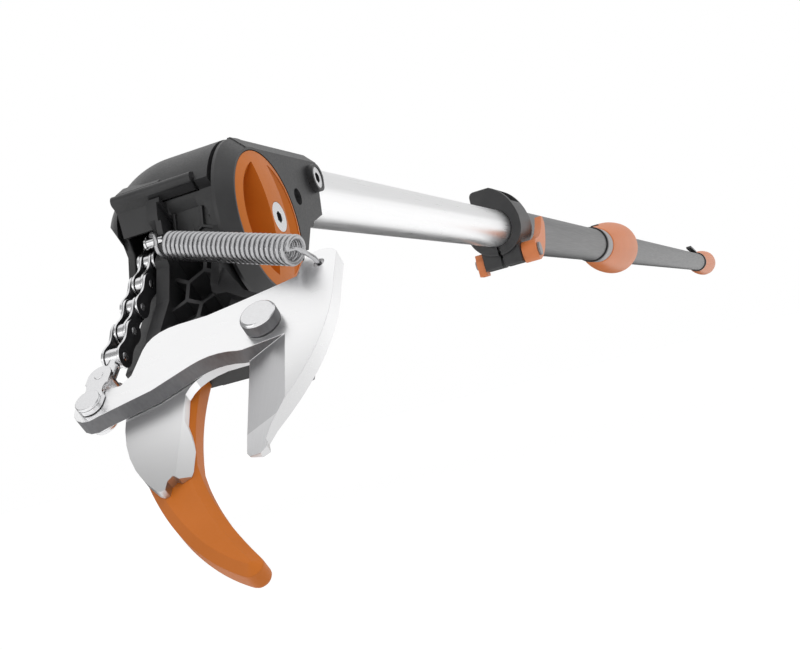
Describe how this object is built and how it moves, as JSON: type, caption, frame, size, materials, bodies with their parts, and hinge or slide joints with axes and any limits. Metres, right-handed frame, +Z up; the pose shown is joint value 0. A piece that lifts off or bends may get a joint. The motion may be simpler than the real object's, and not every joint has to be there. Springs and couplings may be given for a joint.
{
  "type": "telescopic tree pruner",
  "caption": "Telescopic pole pruner with a swivelling head: a sliding ball on the pole closes a sprung bypass blade through a chain.",
  "frame": {"origin": "On the pole's axis at the hand grip of the outer tube.", "axes": "+Y runs along the pole from the head to the butt, +Z is up as pictured, +X is the swivel axis of the head, to the picture's right."},
  "size_m": [0.0914, 2.3195, 0.1605],
  "materials": {
    "black_plastic": "fine-grained moulded black plastic",
    "grey_plastic": "smooth grey plastic",
    "orange_plastic": "satin orange plastic",
    "bright_steel": "bright plated steel",
    "polished_steel": "polished blade steel with ground bevels",
    "dark_steel": "dark zinc-plated steel",
    "bright_aluminium": "bright drawn aluminium",
    "grey_aluminium": "grey anodised aluminium, satin"
  },
  "bodies": {
    "lower_pole": {"lower_tube": "grey_aluminium", "front_bush": "black_plastic", "clamp_body": "black_plastic", "clamp_bolt": "dark_steel", "clamp_nut": "orange_plastic", "end_collar": "black_plastic", "end_knob": "orange_plastic"},
    "clamp_lever": {"cam_lever": "orange_plastic"},
    "pull_handle": {"pull_ball": "orange_plastic", "pull_collar": "grey_plastic", "pull_ring": "black_plastic", "pull_tab": "black_plastic"},
    "inner_pole": {"inner_tube": "bright_aluminium", "rear_bush": "black_plastic", "neck_right": "black_plastic", "neck_left": "black_plastic", "neck_screws": "bright_steel", "swivel_shaft": "bright_steel"},
    "angle_knob": {"angle_knob": "orange_plastic", "knob_screw": "bright_steel"},
    "head": {"head_housing": "black_plastic", "rear_cover": "black_plastic", "cover_screws": "dark_steel", "counter_blade": "polished_steel", "branch_hook": "orange_plastic", "hook_screws": "dark_steel", "pivot_bolt": "bright_steel", "pivot_nut": "dark_steel", "spring_pin": "bright_steel", "return_spring": "bright_steel"},
    "blade": {"cutting_blade": "polished_steel"},
    "chain_run": {"lever_pin": "bright_steel", "end_link": "bright_steel", "twist_link": "bright_steel", "chain_outer_links": "bright_steel", "chain_inner_links": "bright_steel"},
    "chain_top": {"chain_top_link": "bright_steel", "cord_anchor": "dark_steel"},
    "chain_drum": {"chain_drum": "dark_steel"}
  },
  "joints": [
    {"name": "telescope_slide", "type": "slide", "parent": "lower_pole", "child": "inner_pole", "axis": [0, -1, 0], "range_m": [0, 1.5]},
    {"name": "clamp_lever_turn", "type": "hinge", "parent": "lower_pole", "child": "clamp_lever", "pos_m": [0, -0.242, -0.0205], "axis": [-1, 0, 0], "range_deg": [0, 120]},
    {"name": "pull_slide", "type": "slide", "parent": "lower_pole", "child": "pull_handle", "axis": [0, 1, 0], "range_m": [0, 0.2]},
    {"name": "head_swivel", "type": "hinge", "parent": "inner_pole", "child": "head", "pos_m": [0, -0.677, -0.019], "axis": [1, 0, 0], "range_deg": [-130, 73]},
    {"name": "angle_knob_turn", "type": "hinge", "parent": "inner_pole", "child": "angle_knob", "pos_m": [0, -0.677, -0.019], "axis": [1, 0, 0], "range_deg": [0, 90]},
    {"name": "blade_close", "type": "hinge", "parent": "head", "child": "blade", "pos_m": [0.0355, -0.74383, -0.06135], "axis": [0, 0.6691, -0.7431], "range_deg": [0, 34], "stiffness_Nm_per_rad": 0.8, "springref_deg": -5.73, "deforming": ["return_spring"]},
    {"name": "chain_run_turn", "type": "hinge", "parent": "blade", "child": "chain_run", "pos_m": [-0.02, -0.75572, -0.07205], "axis": [0, 0.6691, -0.7431], "range_deg": [-34, 0]},
    {"name": "chain_top_fold", "type": "hinge", "parent": "chain_run", "child": "chain_top", "pos_m": [-0.01734, -0.70426, -0.02571], "axis": [-0.9993, 0.0285, 0.0257], "range_deg": [0, 40]},
    {"name": "chain_drum_turn", "type": "hinge", "parent": "head", "child": "chain_drum", "pos_m": [0, -0.677, -0.019], "axis": [-1, 0, 0], "range_deg": [0, 147.12]}
  ],
  "couplings": [
    {"joint": "blade_close", "follows": "pull_slide", "rad_per_m": 2.967},
    {"joint": "chain_run_turn", "follows": "pull_slide", "rad_per_m": -2.967},
    {"joint": "chain_top_fold", "follows": "pull_slide", "rad_per_m": 3.4907},
    {"joint": "chain_drum_turn", "follows": "pull_slide", "rad_per_m": 12.83}
  ]
}
